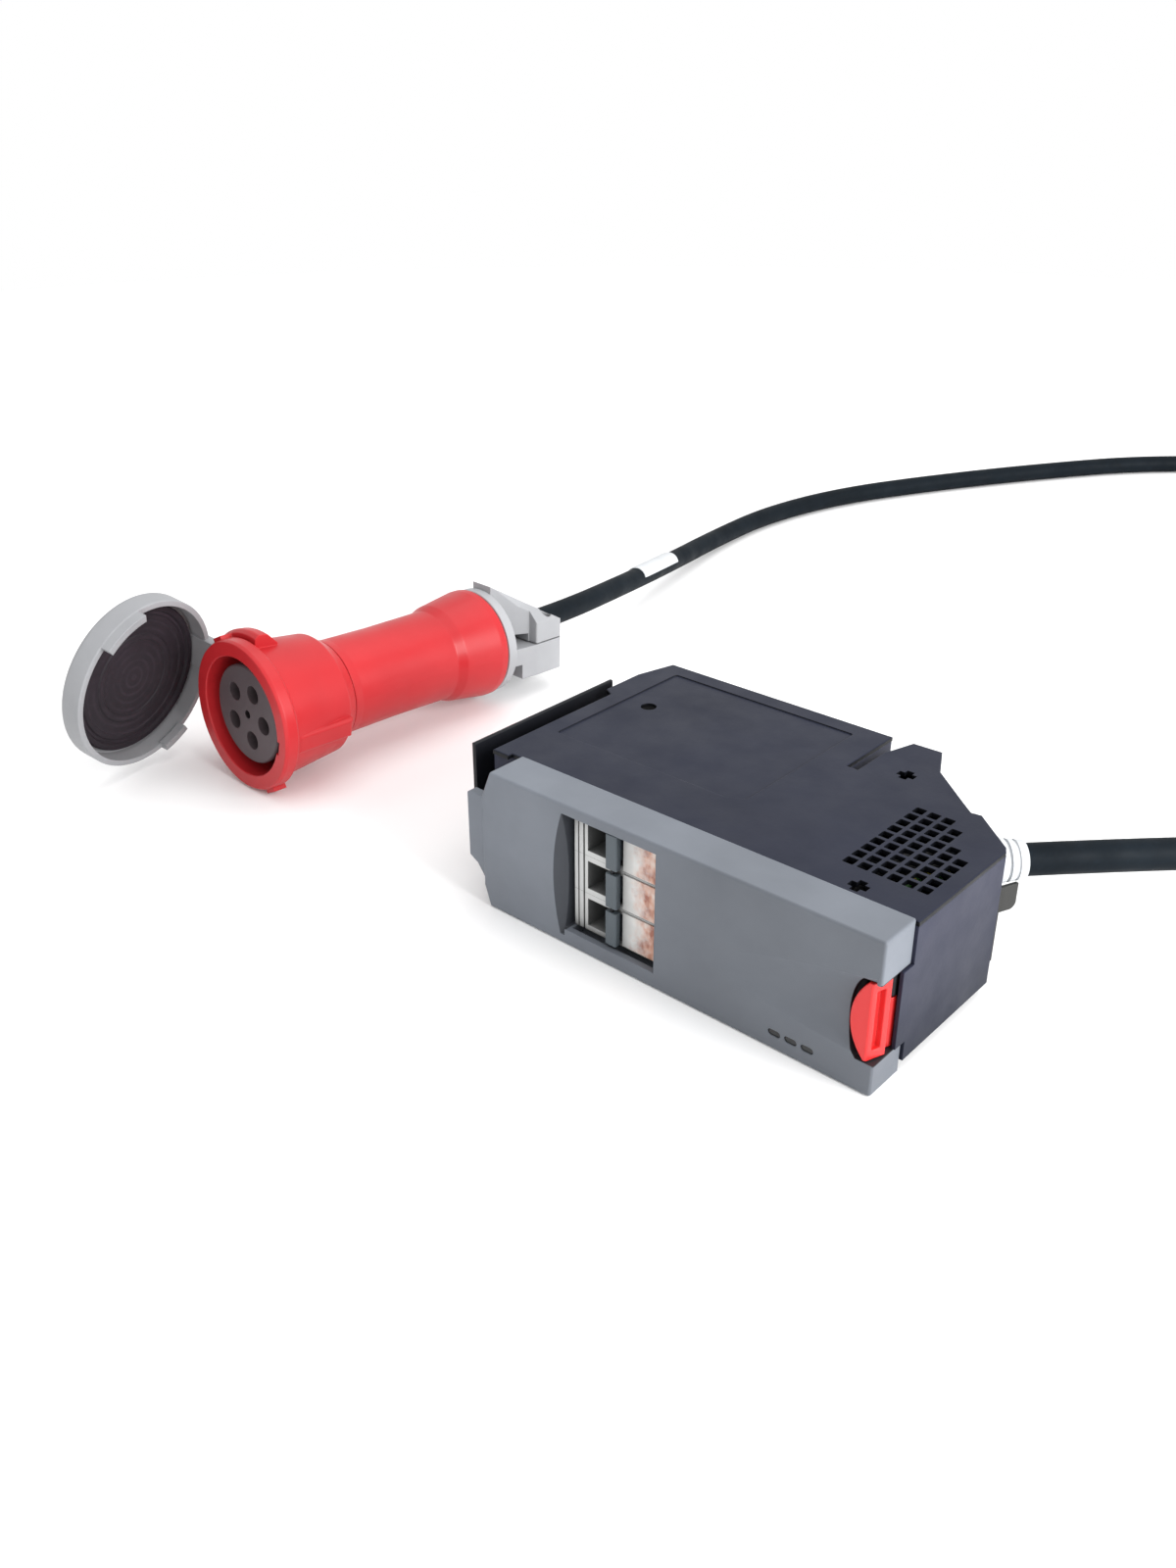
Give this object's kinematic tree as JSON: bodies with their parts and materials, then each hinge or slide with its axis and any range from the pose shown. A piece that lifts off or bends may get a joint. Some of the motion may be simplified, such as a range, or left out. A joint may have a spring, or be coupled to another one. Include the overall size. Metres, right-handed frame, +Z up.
{
  "type": "rack power distribution module",
  "caption": "Slide-in rack power module with a breaker window, red latch, vented cover, rear bus plug and a cord ending in a lidded round power connector.",
  "frame": {"origin": "bottom centre of the module's box, without the cord and its connector, on the surface it stands on", "axes": "+X to the right seen from the front, +Y from the front bezel to the rear bus plug, +Z up"},
  "size_m": [0.6329, 0.9975, 0.0943],
  "materials": {
    "bezel_plastic": "fine moulded texture, satin",
    "black_sheet": "black powder coat",
    "black_plastic": "moulded black",
    "red_plastic": "smooth moulded red, slight gloss",
    "lid_plastic": "moulded mid grey, satin",
    "pale_plastic": "moulded pale grey, satin",
    "white_plastic": "moulded off-white",
    "plate_plastic": "bare marker plate",
    "toggle_plastic": "moulded grey",
    "dark_plastic": "moulded charcoal",
    "lens_plastic": "smoked clear plastic",
    "zinc_steel": "zinc plated",
    "copper": "bare copper",
    "brass_parts": "bare brass",
    "board_laminate": "green laminate",
    "wire_jacket": "smooth insulation",
    "earth_jacket": "green and yellow insulation",
    "black_rubber": "matt rubber",
    "cord_rubber": "black flexible sheath"
  },
  "bodies": {
    "chassis": {"bezel_screws": "zinc_steel", "board_components": "black_plastic", "board_screws": "zinc_steel", "board_standoffs": "brass_parts", "bracket_screws": "zinc_steel", "breaker_marker_plates": "plate_plastic", "breaker_poles": "white_plastic", "breaker_terminal_screws": "zinc_steel", "bus_blades": "copper", "bus_plug_clips": "black_plastic", "bus_plug_housing": "black_plastic", "cable_bracket": "zinc_steel", "cable_bracket_screws": "zinc_steel", "cable_seal": "black_rubber", "chassis_tray": "black_sheet", "connector_contacts": "brass_parts", "connector_cores": "wire_jacket", "connector_front_housing": "red_plastic", "connector_handle": "red_plastic", "connector_insert": "dark_plastic", "cord_clamp_base": "pale_plastic", "cord_clamp_saddle": "pale_plastic", "cord_clamp_screws": "zinc_steel", "cover_screw": "zinc_steel", "current_transformers": "black_plastic", "din_bracket": "zinc_steel", "din_rail": "zinc_steel", "earth_bond_wire": "earth_jacket", "earth_nut": "brass_parts", "earth_ring_terminal": "copper", "earth_spacer": "brass_parts", "earth_stud": "brass_parts", "earth_wire": "earth_jacket", "front_bezel": "bezel_plastic", "insert_retainer": "dark_plastic", "lamp_board": "board_laminate", "latch_pin": "zinc_steel", "latch_spring": "zinc_steel", "left_guide_rail": "black_sheet", "lid_hinge_pin": "zinc_steel", "line_wires": "wire_jacket", "load_wires": "wire_jacket", "meter_board": "board_laminate", "neutral_wire": "wire_jacket", "power_cord": "cord_rubber", "rail_screws": "zinc_steel", "relief_locknut": "black_plastic", "slide_runners": "black_plastic", "status_lamps": "lens_plastic", "status_lenses": "lens_plastic", "strain_relief": "pale_plastic", "toggle_pivot_pin": "zinc_steel", "top_cover": "black_sheet", "transformer_frame": "zinc_steel"},
    "breaker_toggle": {"breaker_toggles": "toggle_plastic", "toggle_tie_rod": "zinc_steel"},
    "latch": {"latch_lever": "red_plastic"},
    "lid": {"connector_lid": "lid_plastic", "lid_gasket": "black_rubber"}
  },
  "joints": [
    {"name": "breaker_switch", "type": "hinge", "parent": "chassis", "child": "breaker_toggle", "pos_m": [-0.0205, -0.058, 0.034], "axis": [0, 0, 1], "range_deg": [-37.4, 0]},
    {"name": "latch_pull", "type": "hinge", "parent": "chassis", "child": "latch", "pos_m": [0.1018, -0.0588, 0.0305], "axis": [0, 0, 1], "range_deg": [0, 40], "stiffness_Nm_per_rad": 0.04, "springref_deg": -17.19},
    {"name": "lid_hinge", "type": "hinge", "parent": "chassis", "child": "lid", "pos_m": [-0.29094, -0.05119, 0.04675], "axis": [-0.216, -0.0219, -0.9761], "range_deg": [-75.3, 35]}
  ]
}
